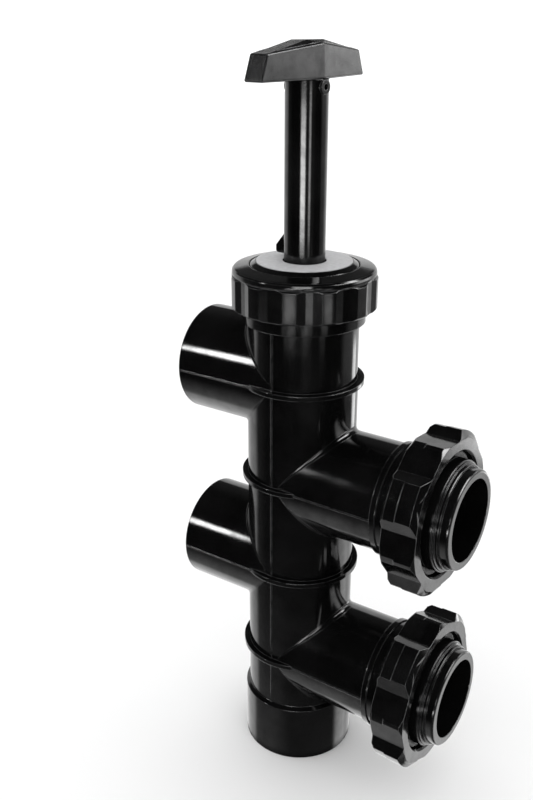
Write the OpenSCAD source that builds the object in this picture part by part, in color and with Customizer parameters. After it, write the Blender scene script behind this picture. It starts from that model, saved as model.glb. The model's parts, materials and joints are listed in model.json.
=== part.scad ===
// Two-position push-pull slide valve with two plain side ports, two union side ports
// and one open bottom port.
// The origin is the centre of the bottom port's face. +Z runs up the valve's axis,
// the union ports point along +X and the plain ports along -X. The shaft is drawn up.

/* [Levels] */
// Height of the lowest port's axis above the bottom face
lowest_port_z = 90; // [88:0.5:92]
// Vertical spacing of the four side ports, which is also the stroke
port_pitch = 76.2; // [75:0.2:78]

/* [Barrel] */
// Outside radius of the barrel
barrel_r = 40.9; // [40.7:0.1:41.5]
// Outside radius of the barrel above the highest port
upper_barrel_r = 40.2; // [39:0.1:40.6]
// Radius of the polished bore that the pistons run in
bore_r = 35.5; // [34.5:0.1:35.8]
// Outside radius of the bottom port
bottom_port_r = 43.8; // [43:0.1:44.4]
// Height of the bottom port's thick wall
bottom_port_h = 46.8; // [45:0.2:48]
// Radius of the sockets for the pipes in the plain and bottom ports
socket_r = 36.6; // [36.4:0.05:36.8]
// Depth of those sockets
socket_depth = 42; // [38:0.5:43]
// Outside radius of the ribs that ring the barrel at each port's level
ring_r = 45.2; // [44:0.1:46]
// Thickness of those ribs
ring_h = 3.6; // [2.5:0.1:5]
// Height that the mould's parting rib stands proud
parting_rib_h = 0.5; // [0.3:0.1:0.8]
// Width of the parting rib
parting_rib_w = 1.2; // [0.8:0.1:2]

/* [Ports] */
// Outside radius of the side ports
port_r = 40.6; // [40:0.1:40.6]
// Radius of the water way between a side port and the bore
passage_r = 28; // [24:0.5:28.5]
// Reach of the plain ports from the valve's axis
plain_port_x = 85; // [84:0.5:92]
// Reach of the union ports' threaded necks from the valve's axis
neck_x = 117.5; // [116:0.5:120]
// Crest radius of the necks' thread
neck_thread_r = 48.7; // [48:0.1:48.7]
// Thread pitch of the union nuts
union_pitch = 4; // [3:0.5:5]

/* [Unions] */
// Radius of the socket for the pipe in a union tail
tail_socket_r = 30.16; // [30.1:0.02:30.3]
// Outside radius of the union tail's lip
tail_r = 36.5; // [36:0.1:37]
// Length of the union tail in front of its flange's back face
tail_length = 21.4; // [20:0.2:24]
// Distance from the eight-sided union nut's axis to its flats
nut_flat_r = 54; // [53:0.1:54.5]
// Outside radius of the nut's four grip pads
nut_pad_r = 60.3; // [59.5:0.1:62]
// Angle that the top of each grip pad covers
nut_pad_angle = 26; // [20:1:30]
// Length of the nut
nut_length = 26.3; // [25:0.1:28]
// Radius of the opening in the nut's front
nut_opening_r = 45.6; // [45:0.1:46]
// Turn of the upper nut about its port's axis
upper_nut_angle = 61.5; // [0:0.5:89.5]
// Turn of the lower nut about its port's axis
lower_nut_angle = 41; // [0:0.5:89.5]

/* [Top] */
// Outside radius of the barrel's thickened, threaded top
top_r = 44.5; // [44:0.1:44.8]
// Height at which the thick top starts
top_start_z = 363.8; // [363:0.2:366]
// Height of the barrel's top face
top_z = 388; // [386:0.5:390]
// Outside radius of the collar's ribs
collar_rib_r = 52.35; // [52:0.05:53]
// Number of ribs round the collar
collar_ribs = 12; // [8:1:14]
// Turn of the collar about the valve's axis
collar_angle = 21.7; // [0:0.1:29.9]
// Radius of the lid's raised boss
lid_boss_r = 38.7; // [38:0.1:38.8]
// Outside radius of the label plate
label_r = 34.05; // [30:0.05:34.5]

/* [Shaft and handle] */
// Radius of the shaft
shaft_r = 14.6; // [14.5:0.05:14.65]
// Radius of the hollow in the shaft
shaft_hollow_r = 10.6; // [10:0.1:11]
// Height of the shaft's top end with the shaft drawn up
shaft_top_z = 527.6; // [520:0.2:535]
// Turn of the shaft and handle about the valve's axis
handle_angle = -4; // [-180:1:180]
// Length of the handle at its base
handle_length = 111.2; // [100:0.2:120]
// Width of the handle at its middle
handle_mid_w = 28.9; // [28.7:0.1:32]
// Width of the handle at its ends
handle_end_w = 14.6; // [12:0.1:16]
// Radius of the roll pin that holds the handle
pin_r = 1.9; // [1.5:0.1:2.2]
// Reach of the hold-up catch from the valve's axis
catch_reach = 23.8; // [22:0.1:24.5]

/* [Pistons] */
// Radius of the pistons
piston_r = 35.2; // [35:0.05:35.3]
// Thickness of the pistons
piston_h = 14; // [12:0.5:15]

/* [Hidden] */
$fn = 96;
// Depth by which stacked shapes run into each other so that they join
overlap = 0.01;
black_gloss = "#17181a";
black_satin = "#26272a";
rubber = "#101010";
steel = "#9a9da0";
silver_label = "#c9cbcb";

// Port levels, from the lowest union port up to the highest plain port
level_d = lowest_port_z;
level_c = level_d + port_pitch;
level_b = level_c + port_pitch;
level_a = level_b + port_pitch;
port_levels = [level_a, level_b, level_c, level_d];
plain_levels = [level_a, level_c];
union_levels = [level_b, level_d];

// Barrel details
bottom_chamfer_h = 2.4;
thread_depth = 1.4;
thread_turns_on_neck = 4;
thread_turns_on_top = 3;
top_thread_start_z = 375;
neck_bore_r = 33.8;
neck_bore_depth = 19.5;
neck_collar_x = 82.4;
neck_collar_end_x = 86.6;
neck_collar_r = 42.8;
neck_rear_r = 41.8;
thread_start_x = neck_x - 17.5;
union_seal_r = 41.5;
union_seal_cord_r = 1.7;
union_groove_slack = 0.2;

// Union nut and tail
nut_start_x = neck_x + 6.8 - nut_length;
nut_end_x = neck_x + 6.8;
nut_sides = 8;
nut_corner_r = nut_flat_r / cos(180 / nut_sides) - 0.6;
nut_step_x = nut_start_x + 10.9;
nut_step_h = 0.5;
nut_rear_chamfer = 1.6;
nut_front_chamfer = 2.2;
nut_mouth_chamfer = 1.4;
nut_bore_r = neck_thread_r + 0.3;
nut_wall = 3.4;
nut_pads = 4;
pad_inner_r = 40;
pad_foot_angle = 44;
pad_rear_chamfer = 2.1;
pad_front_chamfer = 3.6;
pad_nose_r = 54.8;
pad_rear_set_back = 0.4;
pad_front_set_back = 0.1;
pad_flank_overshoot = 1.3;
tail_flange_r = 48.4;
tail_flange_h = 3.2;
tail_gap = 0.1;
tail_sleeve_r = 33.3;
tail_sleeve_length = 17.6;
tail_step_r = 38.2;
tail_step_length = 6.4;
tail_step_chamfer = 0.6;
tail_ledge_r = 39.4;
tail_ledge_length = 9.4;
tail_ledge_chamfer = 0.4;
tail_shoulder_r = 40.6;
tail_shoulder_length = 10.6;
tail_lip_round = 1.8;
tail_stop_h = 1.5;
tail_stop_r = 27.8;
tail_back_x = neck_x + tail_gap;
tail_end_x = tail_back_x + tail_length;

// Collar and lid
collar_gap = 0.3;
collar_start_z = 373.4;
collar_wall_r = 50.5;
collar_lip_z = top_z + 8.9;
collar_lip_r = 39.1;
collar_top_z = 404.2;
collar_rib_top_angle = 8.5;
collar_rib_flank_angle = 8;
collar_rib_start_z = collar_start_z + 0.4;
collar_rib_end_z = collar_top_z - 7;
collar_rib_chamfer = 1.1;
collar_rib_overshoot = 0.3;
collar_core_step = 0.6;
collar_foot_chamfer = 1;
collar_crown_r = 51.4;
collar_crown_foot = 0.8;
collar_crown_drop = 1.6;
collar_crown_across = 3;
collar_crown_up = 3.2;
collar_lip_bevel = 0.5;
lid_flange_r = 44.3;
lid_flange_h = 8.6;
lid_boss_edge_z = 404.35;
lid_top_z = 406.2;
lid_top_edge_r = 35;
lid_edge_across = 0.6;
lid_top_edge_drop = 0.4;
lid_bore_r = 14.9;
lid_plug_r = 35.2;
lid_plug_start_z = 374;
lid_core_inner_r = 22.6;
lid_core_outer_r = 29.4;
lid_core_top_z = 399;
lid_groove_z = 381;
lid_groove_w = 4.6;
lid_groove_r = 31.9;
lid_seal_r = 33.7;
lid_seal_cord_r = 1.7;
gland_r = 18.6;
gland_top_z = 394;
gland_seal_r = 16.65;
gland_seal_cord_r = 1.85;
gland_seal_levels = [391.9, 387.9];
bushing_h = 8.4;
bushing_slack = 0.08;
retainer_groove_r = 20.2;
retainer_z = 375.6;
retainer_h = 1.6;
retainer_slack = 0.1;
retainer_shaft_gap = 0.8;
retainer_split_w = 4;
label_h = 0.5;
label_hole_r = 15.6;

// Pistons, placed half a pitch below the ports that they close off
upper_piston_z = level_b + port_pitch / 2;
lower_piston_z = upper_piston_z - 2 * port_pitch;
piston_levels = [upper_piston_z, lower_piston_z];
piston_bore_r = shaft_r + 0.06;
piston_seal_r = 33.6;
piston_seal_cord_r = 1.8;
piston_inner_seal_r = 16.5;
piston_inner_seal_cord_r = 1.78;
piston_groove_w = 4.2;
piston_groove_r = 31.7;
piston_inner_groove_r = 18.4;
piston_hub_r = 22.5;
piston_rim_r = 29.5;
piston_core_depth = 4.5;
piston_edge_chamfer = 0.8;
clip_h = 1.6;
clip_gap = 0.15;
clip_inner_r = 13.4;
clip_outer_r = 17.8;
clip_groove_slack = 0.1;
clip_opening_w = 16;

// Shaft, handle and catch
shaft_bottom_z = lower_piston_z - piston_h / 2 - 2.7;
shaft_plug_h = 12;
shaft_plug_inset = 0.4;
shaft_plug_slack = 0.05;
shaft_plug_wall = 2.95;
handle_stem_r = shaft_hollow_r - 0.1;
handle_stem_h = 19;
pin_z = shaft_top_z - 4.8;
pin_bore_r = 1.1;
pin_length = 25;
pin_boss_r = 4.7;
pin_boss_reach = 15.5;
handle_edge_r = 1.2;
handle_end_h = 16.7;
handle_mid_h = 22.1;
handle_crown_h = 24.4;
handle_top_draft = 5.5;
handle_crown_x = 6;
handle_crown_y = 9;
handle_wall = 3;
handle_pocket_start = 17;
handle_pocket_h = 11;
insert_border = 2.6;
insert_gap = 0.5;
insert_sink = 0.4;
insert_recess = 1.6;
pin_slack = 0.05;
pin_slot_w = 0.6;
handle_mid_draft = 0.6;
catch_pivot_x = 12.4;
catch_pivot_z = 426.2;
catch_bottom_z = 409.3;
catch_shoulder_z = 414.6;
catch_w = 4.4;
catch_head_r = 2.1;
catch_slot_w = 5;
catch_slot_bottom_z = 406.5;
catch_slot_top_z = 428.8;
catch_pin_r = 1;
catch_pin_length = 13;
catch_pin_fit = 0.03;
catch_pin_slack = 0.06;
catch_toe_chamfer = 1.3;

// Turns a shape drawn along +Z so that it lies along +X at one port's level
module along_x(level) {
  translate([0, 0, level]) rotate([0, 90, 0]) children();
}

// Turns a shape drawn along +Z so that it lies along -X at one port's level
module along_minus_x(level) {
  translate([0, 0, level]) rotate([0, -90, 0]) children();
}

// Everything on the shaft shares the handle's turn
module on_shaft() {
  rotate([0, 0, handle_angle]) children();
}

// Points of a convex quarter round whose outermost radius is r and whose top is at z
function quarter_round(r, z, across, up) =
  [for (angle = [0:30:90]) [r - across * (1 - cos(angle)), z - up * (1 - sin(angle))]];

// A ring of rectangular section
module ring(inner_r, outer_r, start_z, height) {
  translate([0, 0, start_z]) difference() {
    cylinder(h = height, r = outer_r);
    translate([0, 0, -1]) cylinder(h = height + 2, r = inner_r);
  }
}

// A round-section sealing ring
module o_ring(ring_radius, cord_r, level) {
  translate([0, 0, level]) rotate_extrude() translate([ring_radius, 0]) circle(r = cord_r);
}

// The crests of a thread, drawn as parallel ridges on a root of smaller radius
module thread_ridges(crest_r, start_z, pitch, turns) {
  root_r = crest_r - thread_depth;
  inner_r = crest_r - 2 * thread_depth;
  ridge = [for (turn = [0:turns - 1], corner = [[0, 0], [1, 0.25], [1, 0.4], [0, 0.65]])
    [root_r + corner[0] * thread_depth, start_z + (turn + corner[1]) * pitch]];
  rotate_extrude() polygon(concat(
    [[inner_r, start_z]],
    ridge,
    [[root_r, start_z + turns * pitch], [inner_r, start_z + turns * pitch]]
  ));
}

// One plain port: a straight spigot with a pipe socket in its end
module plain_port_shell(level) {
  along_minus_x(level) cylinder(h = plain_port_x, r = port_r);
}

module plain_port_bore(level) {
  along_minus_x(level) {
    cylinder(h = plain_port_x, r = passage_r);
    translate([0, 0, plain_port_x - socket_depth]) cylinder(h = socket_depth + 1, r = socket_r);
  }
}

// One union port's neck, with its shoulder and its threaded end
module union_neck_shell(level) {
  along_x(level) {
    cylinder(h = neck_collar_x + 1, r = port_r);
    translate([0, 0, neck_collar_x])
      cylinder(h = neck_collar_end_x - neck_collar_x, r = neck_collar_r);
    translate([0, 0, neck_collar_end_x - overlap])
      cylinder(h = neck_x - neck_collar_end_x, r = neck_rear_r);
    ring(tail_sleeve_r, neck_thread_r - thread_depth, thread_start_x, neck_x - thread_start_x);
    thread_ridges(neck_thread_r, thread_start_x, union_pitch, thread_turns_on_neck);
  }
}

module union_neck_bore(level) {
  along_x(level) {
    cylinder(h = neck_x, r = passage_r);
    translate([0, 0, neck_x - neck_bore_depth]) cylinder(h = neck_bore_depth + 1, r = neck_bore_r);
    ring(union_seal_r - union_seal_cord_r - union_groove_slack,
      union_seal_r + union_seal_cord_r + union_groove_slack,
      neck_x - 2 * union_seal_cord_r - 0.1, 10);
  }
}

// The moulding that holds the bore, the five ports and the thread for the collar
module barrel_shell() {
  cylinder(h = bottom_port_h, r = bottom_port_r);
  translate([0, 0, bottom_port_h - overlap])
    cylinder(h = bottom_chamfer_h, r1 = bottom_port_r, r2 = barrel_r);
  translate([0, 0, bottom_port_h]) cylinder(h = level_a - bottom_port_h, r = barrel_r);
  translate([0, 0, level_a - 1]) cylinder(h = top_start_z - level_a + 2, r = upper_barrel_r);
  translate([0, 0, top_start_z]) cylinder(h = top_thread_start_z - top_start_z, r = top_r);
  translate([0, 0, top_start_z]) cylinder(h = top_z - top_start_z, r = top_r - thread_depth);
  thread_ridges(top_r, top_thread_start_z, union_pitch, thread_turns_on_top);
  for (level = port_levels)
    translate([0, 0, level - ring_h / 2]) cylinder(h = ring_h, r = ring_r);
}

// Raised line where the two halves of the mould met, on both flanks
module parting_ribs() {
  for (side = [-1, 1]) {
    translate([-parting_rib_w / 2, side * (barrel_r - 1) - 1 - parting_rib_h, bottom_port_h])
      cube([parting_rib_w, 2 + 2 * parting_rib_h, top_start_z - bottom_port_h]);
    for (level = plain_levels)
      translate([-plain_port_x + 1, side * (port_r - 1) - 1 - parting_rib_h, level - parting_rib_w / 2])
        cube([plain_port_x - 1, 2 + 2 * parting_rib_h, parting_rib_w]);
    for (level = union_levels)
      translate([0, side * (port_r - 1) - 1 - parting_rib_h, level - parting_rib_w / 2])
        cube([neck_collar_x, 2 + 2 * parting_rib_h, parting_rib_w]);
  }
}

module valve_body() {
  color(black_gloss) difference() {
    union() {
      barrel_shell();
      for (level = plain_levels) plain_port_shell(level);
      for (level = union_levels) union_neck_shell(level);
      parting_ribs();
    }
    translate([0, 0, -1]) cylinder(h = top_z + 2, r = bore_r);
    translate([0, 0, -1]) cylinder(h = socket_depth + 1, r = socket_r);
    for (level = plain_levels) plain_port_bore(level);
    for (level = union_levels) union_neck_bore(level);
  }
}

// Point at a distance and an angle from the origin
function polar(r, angle) = [r * cos(angle), r * sin(angle)];

// Outline of the collar's skirt: ribs with wide sloping flanks
module collar_skirt_plan() {
  half_top = collar_rib_top_angle / 2;
  half_foot = half_top + collar_rib_flank_angle;
  crest_r = collar_rib_r + collar_rib_overshoot;
  corners = [
    [collar_wall_r, -half_foot], [crest_r, -half_top],
    [crest_r, half_top], [collar_wall_r, half_foot]
  ];
  polygon([for (rib = [0:collar_ribs - 1], corner = corners)
    polar(corner[0], corner[1] + rib * 360 / collar_ribs)]);
}

// Screwed ring that clamps the lid down, with grip ribs round its skirt
module locking_collar() {
  edge_r = collar_rib_r - collar_rib_chamfer;
  core_r = collar_wall_r - collar_core_step;
  color(black_gloss) rotate([0, 0, collar_angle]) difference() {
    union() {
      intersection() {
        translate([0, 0, collar_rib_start_z])
          linear_extrude(height = collar_rib_end_z - collar_rib_start_z) collar_skirt_plan();
        rotate_extrude() polygon([
          [0, collar_rib_start_z], [edge_r, collar_rib_start_z],
          [collar_rib_r, collar_rib_start_z + collar_rib_chamfer],
          [collar_rib_r, collar_rib_end_z - collar_rib_chamfer],
          [edge_r, collar_rib_end_z], [0, collar_rib_end_z]
        ]);
      }
      rotate_extrude() polygon(concat(
        [
          [0, collar_start_z],
          [core_r - collar_foot_chamfer, collar_start_z],
          [core_r, collar_start_z + collar_foot_chamfer],
          [core_r, collar_rib_end_z - collar_crown_foot],
          [collar_crown_r, collar_rib_end_z + collar_crown_foot]
        ],
        quarter_round(
          collar_crown_r, collar_top_z - collar_crown_drop, collar_crown_across, collar_crown_up),
        [[collar_lip_r + collar_lip_bevel, collar_top_z], [0, collar_top_z]]
      ));
    }
    rotate_extrude() polygon([
      [0, collar_start_z - 1],
      [top_r + collar_gap, collar_start_z - 1],
      [top_r + collar_gap, collar_lip_z],
      [collar_lip_r, collar_lip_z],
      [collar_lip_r, collar_top_z - collar_lip_bevel],
      [collar_lip_r + 2 * collar_lip_bevel, collar_top_z + collar_lip_bevel],
      [0, collar_top_z + collar_lip_bevel]
    ]);
  }
}

module lid() {
  color(black_gloss) rotate_extrude() polygon([
    [gland_r, lid_plug_start_z],
    [lid_core_inner_r, lid_plug_start_z],
    [lid_core_inner_r, lid_core_top_z],
    [lid_core_outer_r, lid_core_top_z],
    [lid_core_outer_r, lid_plug_start_z],
    [lid_plug_r, lid_plug_start_z],
    [lid_plug_r, lid_groove_z - lid_groove_w / 2],
    [lid_groove_r, lid_groove_z - lid_groove_w / 2],
    [lid_groove_r, lid_groove_z + lid_groove_w / 2],
    [lid_plug_r, lid_groove_z + lid_groove_w / 2],
    [lid_plug_r, top_z],
    [lid_flange_r, top_z],
    [lid_flange_r, top_z + lid_flange_h],
    [lid_boss_r, top_z + lid_flange_h],
    [lid_boss_r, lid_boss_edge_z - lid_edge_across],
    [lid_boss_r - lid_edge_across, lid_boss_edge_z],
    [lid_top_edge_r + lid_edge_across, lid_top_z - lid_top_edge_drop],
    [lid_top_edge_r, lid_top_z],
    [lid_bore_r, lid_top_z],
    [lid_bore_r, gland_top_z],
    [gland_r, gland_top_z],
    [gland_r, retainer_z + retainer_h + retainer_slack],
    [retainer_groove_r, retainer_z + retainer_h + retainer_slack],
    [retainer_groove_r, retainer_z - retainer_slack],
    [gland_r, retainer_z - retainer_slack]
  ]);
}

module lid_label() {
  color(silver_label) ring(label_hole_r, label_r, lid_top_z, label_h);
}

module lid_o_ring() {
  color(rubber) o_ring(lid_seal_r, lid_seal_cord_r, lid_groove_z);
}

module shaft_seals() {
  color(rubber) for (level = gland_seal_levels) o_ring(gland_seal_r, gland_seal_cord_r, level);
}

module gland_bushing() {
  color(black_satin)
    ring(shaft_r + bushing_slack, gland_r - 0.1, retainer_z + retainer_h + 2 * retainer_slack, bushing_h);
}

module gland_retainer() {
  color(steel) difference() {
    ring(shaft_r + retainer_shaft_gap, retainer_groove_r - 2 * retainer_slack, retainer_z, retainer_h);
    translate([0, -retainer_split_w / 2, retainer_z - 1])
      cube([retainer_groove_r + 1, retainer_split_w, retainer_h + 2]);
  }
}

// Slot and pin hole for the hold-up catch in the shaft's wall
module catch_slot() {
  translate([-shaft_r - 1, -catch_slot_w / 2, catch_slot_bottom_z])
    cube([shaft_r + 1 - shaft_hollow_r / 2, catch_slot_w, catch_slot_top_z - catch_slot_bottom_z]);
  translate([-catch_pivot_x, 0, catch_pivot_z]) rotate([90, 0, 0])
    cylinder(h = 2 * shaft_r, r = catch_pin_r + catch_pin_fit, center = true);
}

module shaft() {
  color(black_gloss) on_shaft() difference() {
    union() {
      translate([0, 0, shaft_bottom_z]) cylinder(h = shaft_top_z - shaft_bottom_z, r = shaft_r);
      translate([0, 0, pin_z]) rotate([0, 90, 0])
        cylinder(h = 2 * pin_boss_reach, r = pin_boss_r, center = true);
    }
    translate([0, 0, shaft_bottom_z - 1])
      cylinder(h = shaft_top_z - shaft_bottom_z + 2, r = shaft_hollow_r);
    translate([0, 0, pin_z]) rotate([0, 90, 0])
      cylinder(h = 4 * shaft_r, r = pin_r + pin_slack, center = true);
    for (level = piston_levels, side = [-1, 1])
      ring(clip_inner_r - clip_groove_slack, shaft_r + 1,
        clip_start(level, side) - clip_groove_slack, clip_h + 2 * clip_groove_slack);
    catch_slot();
  }
}

// Height at which a clip starts, above (side 1) or below (side -1) a piston
function clip_start(level, side) =
  side > 0 ? level + piston_h / 2 + clip_gap : level - piston_h / 2 - clip_gap - clip_h;

module piston_clips() {
  color(steel) on_shaft() for (level = piston_levels, side = [-1, 1]) difference() {
    ring(clip_inner_r, clip_outer_r, clip_start(level, side), clip_h);
    translate([0, -clip_opening_w / 2, clip_start(level, side) - 1])
      cube([clip_outer_r + 1, clip_opening_w, clip_h + 2]);
  }
}

module shaft_plug() {
  plug_r = shaft_hollow_r - shaft_plug_slack;
  color(black_satin) on_shaft() translate([0, 0, shaft_bottom_z + shaft_plug_inset]) difference() {
    cylinder(h = shaft_plug_h, r = plug_r);
    translate([0, 0, -1]) cylinder(h = shaft_plug_h / 2, r = plug_r - shaft_plug_wall);
  }
}

// Crowned block of the handle: wide over the shaft and narrow at its two ends
module handle_block() {
  e = handle_edge_r;
  base_z = shaft_top_z + e;
  end_y = handle_length / 2 - e;
  end_x = handle_end_w / 2 - e;
  mid_x = handle_mid_w / 2 - e;
  hull() for (x = [-1, 1], y = [-1, 1]) {
    translate([x * end_x, y * end_y, base_z]) sphere(r = e, $fn = 20);
    translate([x * end_x, y * (end_y - handle_top_draft), shaft_top_z + handle_end_h - e])
      sphere(r = e, $fn = 20);
    translate([x * mid_x, y * 0.3, base_z]) sphere(r = e, $fn = 20);
    translate([x * (mid_x - handle_mid_draft), y * 0.3, shaft_top_z + handle_mid_h - e])
      sphere(r = e, $fn = 20);
    translate([x * handle_crown_x, y * handle_crown_y, shaft_top_z + handle_crown_h - e])
      sphere(r = e, $fn = 20);
  }
}

// Plan outline of the handle, drawn in by a border and cut off at a distance from the middle
module handle_plan(border, end_y) {
  mid_x = handle_mid_w / 2 - border;
  end_x = mid_x - (handle_mid_w - handle_end_w) / handle_length * end_y;
  polygon([
    [-end_x, -end_y], [end_x, -end_y], [mid_x, 0],
    [end_x, end_y], [-end_x, end_y], [-mid_x, 0]
  ]);
}

// The block and all below it, cut to the long panel on the handle's top
module top_panel(border, sink) {
  end_y = handle_length / 2 - handle_top_draft - border;
  intersection() {
    translate([0, 0, -sink]) handle_block();
    translate([0, 0, shaft_top_z + handle_end_h / 2]) linear_extrude(height = 2 * handle_crown_h)
      handle_plan(border, end_y);
  }
}

module handle() {
  panel_end_y = handle_length / 2 - handle_top_draft - insert_border;
  color(black_satin) on_shaft() difference() {
    union() {
      handle_block();
      translate([0, 0, shaft_top_z - handle_stem_h])
        cylinder(h = handle_stem_h + handle_end_h / 2, r = handle_stem_r);
    }
    difference() {
      translate([0, 0, shaft_top_z + handle_end_h / 2]) linear_extrude(height = 2 * handle_crown_h)
        handle_plan(insert_border, panel_end_y);
      translate([0, 0, -insert_recess]) handle_block();
    }
    translate([0, 0, shaft_top_z - 1]) linear_extrude(height = handle_pocket_h + 1) difference() {
      handle_plan(handle_wall, handle_length / 2 - 2 * handle_wall);
      square([handle_mid_w, 2 * handle_pocket_start], center = true);
    }
    translate([0, 0, pin_z]) rotate([0, 90, 0])
      cylinder(h = 4 * shaft_r, r = pin_r + pin_slack, center = true);
  }
}

// Long grip panel that fills the recess in the handle's top, just below its rim
module handle_top_insert() {
  color(black_satin) on_shaft() difference() {
    top_panel(insert_border + insert_gap, insert_sink);
    translate([0, 0, -insert_recess]) handle_block();
  }
}

// Slotted roll pin through the shaft and the handle's stem
module handle_pin() {
  color(steel) on_shaft() translate([0, 0, pin_z]) rotate([0, 90, 0]) difference() {
    cylinder(h = pin_length, r = pin_r, center = true);
    cylinder(h = pin_length + 2, r = pin_bore_r, center = true);
    translate([0, -pin_slot_w / 2, -pin_length]) cube([2 * pin_r, pin_slot_w, 2 * pin_length]);
  }
}

// Wedge that springs out of the shaft and rests above the lid to hold the shaft up
module hold_catch() {
  color(black_gloss) on_shaft() difference() {
    rotate([90, 0, 0]) linear_extrude(height = catch_w, center = true) {
      translate([-catch_pivot_x, catch_pivot_z]) circle(r = catch_head_r);
      polygon([
        [-catch_pivot_x + catch_head_r - 0.1, catch_pivot_z],
        [-catch_pivot_x - catch_head_r + 0.1, catch_pivot_z],
        [-catch_reach, catch_shoulder_z],
        [-catch_reach, catch_bottom_z + catch_toe_chamfer],
        [-catch_reach + catch_toe_chamfer, catch_bottom_z],
        [-catch_pivot_x + 0.2, catch_bottom_z]
      ]);
    }
    translate([-catch_pivot_x, 0, catch_pivot_z]) rotate([90, 0, 0])
      cylinder(h = 2 * catch_w, r = catch_pin_r + catch_pin_slack, center = true);
  }
}

module catch_pin() {
  color(steel) on_shaft() translate([-catch_pivot_x, 0, catch_pivot_z]) rotate([90, 0, 0])
    cylinder(h = catch_pin_length, r = catch_pin_r, center = true);
}

// Cored disc with a groove for the bore's seal and one for the shaft's
module piston(level) {
  half = piston_h / 2;
  groove = piston_groove_w / 2;
  core = half - piston_core_depth;
  edge = piston_edge_chamfer;
  color(black_satin) translate([0, 0, level]) rotate_extrude() polygon([
    [piston_bore_r, -half], [piston_hub_r, -half], [piston_hub_r, -core],
    [piston_rim_r, -core], [piston_rim_r, -half], [piston_r - edge, -half],
    [piston_r, -half + edge], [piston_r, -groove], [piston_groove_r, -groove],
    [piston_groove_r, groove], [piston_r, groove], [piston_r, half - edge],
    [piston_r - edge, half], [piston_rim_r, half], [piston_rim_r, core],
    [piston_hub_r, core], [piston_hub_r, half], [piston_bore_r, half],
    [piston_bore_r, groove], [piston_inner_groove_r, groove],
    [piston_inner_groove_r, -groove], [piston_bore_r, -groove]
  ]);
}

module piston_seals(level) {
  color(rubber) {
    o_ring(piston_seal_r, piston_seal_cord_r, level);
    o_ring(piston_inner_seal_r, piston_inner_seal_cord_r, level);
  }
}

module upper_piston() piston(upper_piston_z);
module lower_piston() piston(lower_piston_z);
module upper_piston_seals() piston_seals(upper_piston_z);
module lower_piston_seals() piston_seals(lower_piston_z);

// Outline of one grip pad: a flat-flanked block whose foot lies on the nut's flats
module pad_plan() {
  foot = polar(nut_flat_r, pad_foot_angle / 2);
  top = polar(nut_pad_r, nut_pad_angle / 2);
  tip = foot + pad_flank_overshoot * (top - foot);
  polygon([
    [pad_inner_r, -foot[1]], [foot[0], -foot[1]], [tip[0], -tip[1]],
    tip, foot, [pad_inner_r, foot[1]]
  ]);
}

// Eight-sided nut with four grip pads, a faint step round it and an open front
module union_nut(level, angle) {
  pad_start_x = nut_start_x + pad_rear_set_back;
  pad_end_x = nut_end_x - pad_front_set_back;
  color(black_gloss) along_x(level) difference() {
    rotate([0, 0, angle]) {
      intersection() {
        translate([0, 0, nut_start_x])
          cylinder(h = nut_length, r = nut_flat_r / cos(180 / nut_sides), $fn = nut_sides);
        rotate_extrude() polygon([
          [0, nut_start_x],
          [nut_corner_r - nut_step_h - nut_rear_chamfer, nut_start_x],
          [nut_corner_r - nut_step_h, nut_start_x + nut_rear_chamfer],
          [nut_corner_r - nut_step_h, nut_step_x],
          [nut_corner_r, nut_step_x + nut_step_h],
          [nut_corner_r, nut_end_x - nut_front_chamfer],
          [nut_corner_r - nut_front_chamfer, nut_end_x],
          [0, nut_end_x]
        ]);
      }
      for (pad = [0:nut_pads - 1]) rotate([0, 0, pad * 360 / nut_pads]) intersection() {
        translate([0, 0, nut_start_x]) linear_extrude(height = nut_length) pad_plan();
        rotate_extrude() polygon([
          [0, pad_start_x],
          [nut_pad_r - nut_step_h - pad_rear_chamfer, pad_start_x],
          [nut_pad_r - nut_step_h, pad_start_x + pad_rear_chamfer],
          [nut_pad_r - nut_step_h, nut_step_x],
          [nut_pad_r, nut_step_x + nut_step_h],
          [nut_pad_r, nut_end_x - pad_front_chamfer],
          [pad_nose_r, pad_end_x],
          [0, pad_end_x]
        ]);
      }
    }
    cylinder(h = nut_end_x - nut_wall, r = nut_bore_r);
    cylinder(h = nut_end_x + 1, r = nut_opening_r);
    translate([0, 0, nut_end_x - nut_mouth_chamfer]) cylinder(
      h = nut_mouth_chamfer + overlap, r1 = nut_opening_r, r2 = nut_opening_r + nut_mouth_chamfer);
  }
}

module upper_union_nut() union_nut(level_b, upper_nut_angle);
module lower_union_nut() union_nut(level_d, lower_nut_angle);

// Tail piece: flange inside the nut, stepped front, and a sleeve that reaches into the neck
module union_tail(level) {
  front_x = tail_back_x + tail_flange_h;
  sleeve_x = tail_back_x - tail_sleeve_length;
  shoulder_x = tail_end_x - tail_shoulder_length;
  ledge_x = tail_end_x - tail_ledge_length;
  step_x = tail_end_x - tail_step_length;
  color(black_gloss) along_x(level) rotate_extrude() polygon(concat(
    [
      [tail_stop_r, sleeve_x],
      [tail_sleeve_r, sleeve_x],
      [tail_sleeve_r, tail_back_x],
      [tail_flange_r, tail_back_x],
      [tail_flange_r, front_x],
      [tail_shoulder_r, front_x],
      [tail_shoulder_r, shoulder_x - tail_ledge_chamfer],
      [tail_shoulder_r - tail_ledge_chamfer, shoulder_x],
      [tail_ledge_r, shoulder_x],
      [tail_ledge_r, ledge_x],
      [tail_step_r, ledge_x + tail_ledge_chamfer],
      [tail_step_r, step_x - tail_step_chamfer],
      [tail_step_r - tail_step_chamfer, step_x],
      [tail_r, step_x]
    ],
    quarter_round(tail_r, tail_end_x, tail_lip_round, tail_lip_round),
    [
      [tail_socket_r, tail_end_x],
      [tail_socket_r, sleeve_x + tail_stop_h],
      [tail_stop_r, sleeve_x + tail_stop_h]
    ]
  ));
}

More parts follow.
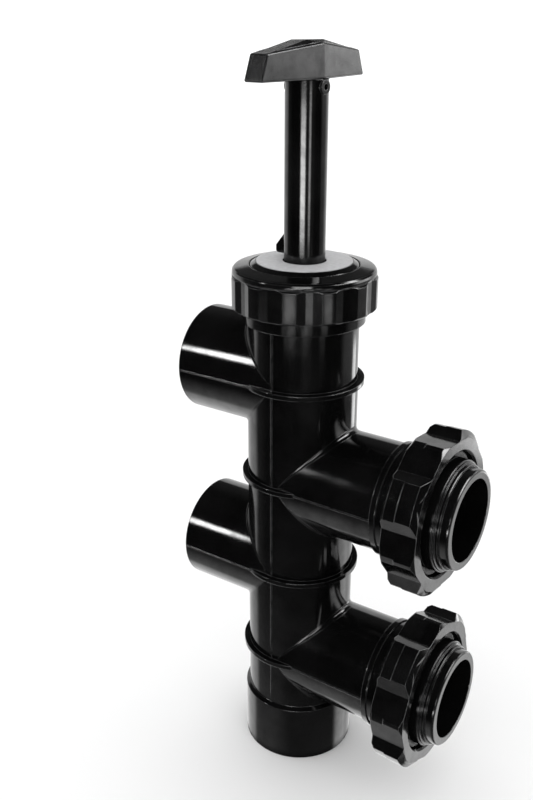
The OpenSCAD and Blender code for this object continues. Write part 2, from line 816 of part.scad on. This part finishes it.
module upper_union_tail() union_tail(level_b);
module lower_union_tail() union_tail(level_d);

module union_o_ring(level) {
  color(rubber) along_x(level)
    o_ring(union_seal_r, union_seal_cord_r, neck_x - union_seal_cord_r - 0.05);
}

module upper_union_o_ring() union_o_ring(level_b);
module lower_union_o_ring() union_o_ring(level_d);

valve_body();
locking_collar();
lid();
lid_label();
lid_o_ring();
shaft_seals();
gland_bushing();
gland_retainer();
shaft();
handle();
handle_top_insert();
handle_pin();
hold_catch();
catch_pin();
shaft_plug();
piston_clips();
upper_piston();
lower_piston();
upper_piston_seals();
lower_piston_seals();
upper_union_nut();
lower_union_nut();
upper_union_tail();
lower_union_tail();
upper_union_o_ring();
lower_union_o_ring();
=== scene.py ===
import bpy
import json
import math
from mathutils import Matrix, Vector


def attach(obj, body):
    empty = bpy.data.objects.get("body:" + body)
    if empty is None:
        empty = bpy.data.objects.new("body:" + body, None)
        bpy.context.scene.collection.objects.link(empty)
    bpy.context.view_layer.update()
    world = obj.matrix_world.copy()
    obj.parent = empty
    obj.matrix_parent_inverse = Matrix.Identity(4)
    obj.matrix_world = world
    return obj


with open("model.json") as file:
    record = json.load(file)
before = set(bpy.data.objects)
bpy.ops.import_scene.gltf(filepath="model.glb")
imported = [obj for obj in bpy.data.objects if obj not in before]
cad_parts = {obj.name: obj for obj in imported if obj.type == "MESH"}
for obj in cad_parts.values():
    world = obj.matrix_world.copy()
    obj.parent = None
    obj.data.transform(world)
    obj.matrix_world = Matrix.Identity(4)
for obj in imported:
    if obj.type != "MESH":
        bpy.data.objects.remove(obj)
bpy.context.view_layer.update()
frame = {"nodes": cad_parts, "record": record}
nodes = frame["nodes"]
MM = 0.001


# ---------------------------------------------------------------- camera
def make_camera():
    """The photograph's view: three quarters from the front right, a little above."""
    azimuth, elevation = math.radians(32.68), math.radians(22.59)
    back = Vector((
        math.sin(azimuth) * math.cos(elevation),
        -math.cos(azimuth) * math.cos(elevation),
        math.sin(elevation),
    ))
    distance, aim_height = 0.7062, 0.29472
    turn, nod, roll = 2.19, 0.37, 0.80
    look = (-back).to_track_quat("-Z", "Y").to_matrix()
    for angle, axis in ((turn, "Y"), (nod, "X"), (roll, "Z")):
        look = look @ Matrix.Rotation(math.radians(angle), 3, axis)
    data = bpy.data.cameras.new("view_camera")
    data.sensor_width = 36
    data.lens = 42.44
    data.clip_start, data.clip_end = 0.01, 20
    camera = bpy.data.objects.new("view_camera", data)
    camera.matrix_world = Matrix.Translation(
        Vector((0, 0, aim_height)) + back * distance
    ) @ look.to_4x4()
    bpy.context.scene.collection.objects.link(camera)
    bpy.context.scene.camera = camera


make_camera()


# ---------------------------------------------------------------- materials
PLASTIC_IOR = 1.5
GRAIN_STRENGTH = 0.35
# Reach of the ambient occlusion behind the painted crevice shade
CREVICE_SHADE_REACH = 16 * MM
SHADER_SAMPLES = 6


def new_material(name):
    material = bpy.data.materials.new(name)
    material.use_nodes = True
    tree = material.node_tree
    return material, tree, tree.nodes["Principled BSDF"]


def noise(tree, scale, detail=2.0, rough=0.5):
    """Noise in object space; scale is features per metre."""
    place = tree.nodes.new("ShaderNodeTexCoord")
    node = tree.nodes.new("ShaderNodeTexNoise")
    node.inputs["Scale"].default_value = scale
    node.inputs["Detail"].default_value = detail
    node.inputs["Roughness"].default_value = rough
    tree.links.new(place.outputs["Object"], node.inputs["Vector"])
    return node.outputs["Fac"]


def ramp(tree, value, stops):
    node = tree.nodes.new("ShaderNodeValToRGB")
    elements = node.color_ramp.elements
    elements[0].position, elements[0].color = stops[0][0], stops[0][1]
    elements[1].position, elements[1].color = stops[-1][0], stops[-1][1]
    for position, color in stops[1:-1]:
        elements.new(position).color = color
    tree.links.new(value, node.inputs["Fac"])
    return node.outputs["Color"]


def grey(value):
    return (value, value, value * 1.02, 1)


def remap(tree, value, from_low, from_high, to_low, to_high):
    node = tree.nodes.new("ShaderNodeMapRange")
    ends = {"From Min": from_low, "From Max": from_high, "To Min": to_low, "To Max": to_high}
    for name, end in ends.items():
        node.inputs[name].default_value = end
    tree.links.new(value, node.inputs["Value"])
    return node.outputs["Result"]


def maths(tree, operation, first, second=None, third=None):
    node = tree.nodes.new("ShaderNodeMath")
    node.operation = operation
    for slot, value in enumerate((first, second, third)):
        if value is None:
            continue
        if isinstance(value, (int, float)):
            node.inputs[slot].default_value = value
        else:
            tree.links.new(value, node.inputs[slot])
    return node.outputs[0]


def mix_color(tree, share, first, second):
    node = tree.nodes.new("ShaderNodeMix")
    node.data_type = "RGBA"
    tree.links.new(share, node.inputs["Factor"])
    for slot, value in ((6, first), (7, second)):
        if isinstance(value, tuple):
            node.inputs[slot].default_value = value
        else:
            tree.links.new(value, node.inputs[slot])
    return node.outputs[2]


def edge_highlight_share(tree, rounded, amount):
    """How much painted highlight an edge gets: 0 on a face, rising where the rounded normal
    leaves it.
    """
    dot = tree.nodes.new("ShaderNodeVectorMath")
    dot.operation = "DOT_PRODUCT"
    tree.links.new(rounded, dot.inputs[0])
    tree.links.new(tree.nodes.new("ShaderNodeNewGeometry").outputs["Normal"], dot.inputs[1])
    mask = remap(tree, dot.outputs["Value"], 0.985, 0.9, 0.0, amount)
    patchy = remap(tree, noise(tree, 150, 3, 0.6), 0.35, 0.6, 0.2, 1.0)
    return maths(tree, "MULTIPLY", mask, patchy)


def crevice_shade_share(tree, reach):
    """1 deep in a narrow gap and 0 in the open: an ambient-occlusion mask for painted shade in
    gaps.
    """
    node = tree.nodes.new("ShaderNodeAmbientOcclusion")
    node.samples = SHADER_SAMPLES
    node.inputs["Distance"].default_value = reach
    return remap(tree, node.outputs["AO"], 0.52, 0.67, 1.0, 0.0)


def moulded_black(name, dark, light, rough, grain_scale, grain_height, edge=0.0, edge_highlight=(0.0, 0.1)):
    """Moulded plastic: flow marks, haze, grain and scuffs, painted shade and more roughness in
    crevices, and a painted highlight on rounded edges.
    """
    material, tree, shader = new_material(name)
    flow = ramp(tree, noise(tree, 26, 4, 0.6), [(0.35, grey(dark)), (0.7, grey(light))])
    haze = remap(tree, noise(tree, 45, 5, 0.65), 0.3, 0.7, rough[0], rough[1])
    scuff = remap(tree, noise(tree, 380, 6, 0.7), 0.66, 0.8, 0.0, 0.16)
    dullness = maths(tree, "ADD", haze, scuff)
    shader.inputs["IOR"].default_value = PLASTIC_IOR
    if edge:
        # Painted shade in gaps: ambient occlusion lowers the specular level there and also
        # raises the roughness.
        crevice_shade = crevice_shade_share(tree, CREVICE_SHADE_REACH)
        film = remap(tree, noise(tree, 70, 5, 0.7), 0.32, 0.66, 0.3, 0.6)
        crevice_shaded_shine = maths(tree, "MULTIPLY", remap(tree, crevice_shade, 0, 1, 1, 0), film)
        tree.links.new(crevice_shaded_shine, shader.inputs["Specular IOR Level"])
        dullness = maths(tree, "ADD", dullness, remap(tree, crevice_shade, 0, 1, 0, 0.5))
    tree.links.new(dullness, shader.inputs["Roughness"])
    bump = tree.nodes.new("ShaderNodeBump")
    bump.inputs["Strength"].default_value = GRAIN_STRENGTH
    bump.inputs["Distance"].default_value = grain_height
    tree.links.new(noise(tree, grain_scale, 3, 0.6), bump.inputs["Height"])
    if edge:
        bevel = tree.nodes.new("ShaderNodeBevel")
        bevel.samples = SHADER_SAMPLES
        bevel.inputs["Radius"].default_value = edge
        tree.links.new(bevel.outputs["Normal"], bump.inputs["Normal"])
        # Painted highlight: the rounded edges are mixed towards a lighter grey, in patches.
        share = edge_highlight_share(tree, bevel.outputs["Normal"], edge_highlight[0])
        flow = mix_color(tree, share, flow, grey(edge_highlight[1]))
    tree.links.new(flow, shader.inputs["Base Color"])
    tree.links.new(bump.outputs["Normal"], shader.inputs["Normal"])
    return material


# name, darkest and lightest grey, roughness range, grain, rounded edge radius, (painted edge
# highlight amount, its grey)
gloss = moulded_black(
    "gloss_black", 0.0015, 0.004, (0.06, 0.14), 700, 0.00003, 0.0009, (0.3, 0.14))
collar_black = moulded_black(
    "collar_black", 0.0015, 0.005, (0.06, 0.14), 900, 0.00004, 0.0008, (0.6, 0.17))
satin = moulded_black(
    "satin_black", 0.004, 0.01, (0.15, 0.24), 2600, 0.00012, 0.0009, (0.9, 0.4))
inner = moulded_black(
    "inner_black", 0.012, 0.02, (0.35, 0.5), 1500, 0.00006, 0.0005, (0.2, 0.1))
rubber = moulded_black("seal_rubber", 0.008, 0.013, (0.45, 0.6), 2000, 0.00003)


def make_steel():
    material, tree, shader = new_material("stainless")
    tree.links.new(
        ramp(tree, noise(tree, 400, 3), [(0.3, grey(0.42)), (0.7, grey(0.6))]),
        shader.inputs["Base Color"],
    )
    shader.inputs["Metallic"].default_value = 1.0
    shader.inputs["Roughness"].default_value = 0.28
    return material


def make_label():
    material, tree, shader = new_material("label_grey")
    tree.links.new(
        ramp(tree, noise(tree, 300, 4), [(0.3, grey(0.46)), (0.7, grey(0.56))]),
        shader.inputs["Base Color"],
    )
    shader.inputs["Roughness"].default_value = 0.4
    return material


steel = make_steel()
label = make_label()
by_slot = {
    "body_plastic": gloss,
    "collar_plastic": collar_black,
    "handle_plastic": satin,
    "inner_plastic": inner,
    "seal_rubber": rubber,
    "label_face": label,
    "stainless": steel,
}
slot_of = {s["node"]: s["material_slot"] for s in frame["record"]["subparts"]}
for name, obj in nodes.items():
    obj.data.materials.clear()
    obj.data.materials.append(by_slot[slot_of[name]])


# ---------------------------------------------------------------- moulded fillets
def new_mesh(name, points, faces, material, body):
    mesh = bpy.data.meshes.new(name)
    mesh.from_pydata(points, [], faces)
    mesh.materials.append(material)
    mesh.polygons.foreach_set("use_smooth", [True] * len(faces))
    obj = bpy.data.objects.new(name, mesh)
    bpy.context.scene.collection.objects.link(obj)
    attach(obj, body)
    return obj


def junction_fillet(name, barrel_r, port_r, level, side, up, radius):
    """The rolling-ball fillet where a side port meets the barrel, above or below its axis.

    side is -1 for a plain port and 1 for a union port; up is 1 above the axis, -1 below it.
    The strip's two long edges are sunk a little into the barrel and the port.
    """
    steps, arc_steps, sink = 96, 8, 0.4 * MM
    reach = min(barrel_r, port_r) + radius
    points, faces = [], []
    row = arc_steps + 3
    for step in range(steps + 1):
        # Closer together towards the ends, where the path turns fastest
        y = -reach * math.cos(math.pi * step / steps)
        x = math.sqrt(max((barrel_r + radius) ** 2 - y * y, 0))
        z = math.sqrt(max((port_r + radius) ** 2 - y * y, 0))
        ball = Vector((x, y, z))
        to_barrel = Vector((-x, -y, 0)).normalized()
        to_port = Vector((0, -y, -z)).normalized()
        line = []
        for part in range(arc_steps + 1):
            share = part / arc_steps
            aim = (to_barrel * (1 - share) + to_port * share).normalized()
            line.append(ball + aim * radius)
        line = [line[0] + to_barrel * sink] + line + [line[-1] + to_port * sink]
        points += [(p.x * side, p.y, level + p.z * up) for p in line]
    for step in range(steps):
        for part in range(row - 1):
            a = step * row + part
            quad = (a, a + 1, a + row + 1, a + row)
            faces.append(quad if side * up > 0 else quad[::-1])
    return new_mesh(name, points, faces, gloss, "body")


def make_fillets():
    mounts = {m["name"]: m for m in frame["record"]["mounts"]}
    barrel, thin_barrel, port = 40.9 * MM, 40.2 * MM, 40.6 * MM
    radius = 3.5 * MM
    for name, side in (
        ("upper_plain", -1), ("lower_plain", -1), ("upper_union", 1), ("lower_union", 1),
    ):
        level = mounts[name + "_port"]["pos_m"][2]
        for up, word in ((1, "top"), (-1, "foot")):
            wall = thin_barrel if (name == "upper_plain" and up > 0) else barrel
            junction_fillet(name + "_fillet_" + word, wall, port, level, side, up, radius)


make_fillets()


# ---------------------------------------------------------------- stage and light
def make_floor():
    mesh = bpy.data.meshes.new("floor")
    side, drop = 6.0, 0.5 * MM
    corners = [(-side, -side), (side, -side), (side, side), (-side, side)]
    mesh.from_pydata([(x, y, -drop) for x, y in corners], [], [(0, 1, 2, 3)])
    floor = bpy.data.objects.new("floor", mesh)
    material, tree, shader = new_material("floor_white")
    shader.inputs["Base Color"].default_value = (0.9, 0.9, 0.9, 1)
    shader.inputs["Roughness"].default_value = 0.9
    shader.inputs["Specular IOR Level"].default_value = 0.1
    mesh.materials.append(material)
    bpy.context.scene.collection.objects.link(floor)
    floor.visible_glossy = False


def soft_step(tree, value, start, end):
    """0 before start and 1 after end, or the other way round when end is the smaller."""
    node = tree.nodes.new("ShaderNodeMapRange")
    node.interpolation_type = "SMOOTHSTEP"
    rising = end > start
    node.inputs["From Min"].default_value = min(start, end)
    node.inputs["From Max"].default_value = max(start, end)
    node.inputs["To Min"].default_value = 0.0 if rising else 1.0
    node.inputs["To Max"].default_value = 1.0 if rising else 0.0
    tree.links.new(value, node.inputs["Value"])
    return node.outputs["Result"]


# Brightness of the studio seen directly, and of the dark parts that the gloss reflects
WHITE_STUDIO = 1.25
DARK_STUDIO = 0.006
# What the gloss reflects, in degrees: azimuth from the front (-Y) towards +X, and elevation.
# Each row: azimuth centre, half width, softness; elevation low, high, softness; brightness.
PATCHES = (
    # White backdrop behind, and its dim upper part
    (-140, 62, 8, -80, 16, 2.5, 0.95),
    (-140, 62, 20, 10, 45, 12, 0.06),
    # Lit side wall at the right: low for the unions' fronts, dim, and high for the handle
    (140, 18, 8, -60, -25, 2.5, 1.7),
    (140, 18, 8, -22, -3, 3, 0.35),
    (138, 20, 8, -2, 14, 3, 3.8),
    (166, 8, 2, -25, -18.6, 0.6, 3.2),
    # Softbox high at the right, and the key lamp high at the left
    (116, 26, 7, 27, 48, 5, 15.0),
    (-37.5, 3.5, 1.5, 18, 26, 2.5, 34.0),
    # Glow at the left and round the front
    (-70, 14, 14, -40, 12, 8, 0.08),
    (40, 38, 8, -17.5, -2, 1.5, 0.1),
    (45, 20, 12, -24, -20, 1.5, 0.1),
    # Three windows in the collar, and two low ones in the flange under it
    (10.5, 7, 1.5, -17.3, -15.8, 0.5, 3.8),
    (40.7, 7, 1.5, -17.3, -15.8, 0.5, 3.8),
    (71, 5.5, 1.5, -17.3, -15.8, 0.5, 3.4),
    (3, 10, 3, -18.3, -17.8, 0.2, 2.2),
    (35, 6, 3, -18.3, -17.8, 0.2, 3.0),
    # Two strip lamps in the shaft, and one above them in the collar's crown
    (18, 12, 4, -12.5, -5.5, 2, 17.0),
    (54, 5, 3, -12.5, -4, 1.5, 5.5),
    (30, 14, 4, 6, 18, 3, 7.0),
    # Pale floor
    (-80, 70, 30, -90, -42, 14, 0.6),
    (60, 90, 40, -90, -36, 12, 0.12),
)


def make_world():
    """White to the camera and for soft light; a dark studio with lit patches in the gloss."""
    world = bpy.data.worlds.new("studio")
    world.use_nodes = True
    tree = world.node_tree
    background = tree.nodes["Background"]
    split = tree.nodes.new("ShaderNodeSeparateXYZ")
    tree.links.new(tree.nodes.new("ShaderNodeTexCoord").outputs["Generated"], split.inputs[0])
    x, y, z = split.outputs
    azimuth = maths(tree, "DEGREES", maths(tree, "ARCTAN2", x, maths(tree, "MULTIPLY", y, -1)))
    elevation = maths(tree, "DEGREES", maths(tree, "ARCSINE", z))
    total = DARK_STUDIO
    for middle, half, soft, low, high, fade, bright in PATCHES:
        off = maths(tree, "WRAP", maths(tree, "SUBTRACT", azimuth, middle), 180, -180)
        across = soft_step(tree, maths(tree, "ABSOLUTE", off), half + soft, half - soft)
        above = soft_step(tree, elevation, low - fade, low + fade)
        below = soft_step(tree, elevation, high + fade, high - fade)
        patch = maths(tree, "MULTIPLY", maths(tree, "MULTIPLY", across, above), below)
        total = maths(tree, "MULTIPLY_ADD", patch, bright, total)
    glossy = tree.nodes.new("ShaderNodeLightPath").outputs["Is Glossy Ray"]
    mirrored = maths(tree, "MULTIPLY", total, glossy)
    plain = maths(tree, "MULTIPLY", maths(tree, "SUBTRACT", 1, glossy), WHITE_STUDIO)
    tree.links.new(maths(tree, "ADD", mirrored, plain), background.inputs["Strength"])
    background.inputs["Color"].default_value = (1, 1, 1, 1)
    bpy.context.scene.world = world


make_floor()
make_world()
bpy.context.scene.view_settings.view_transform = "Standard"
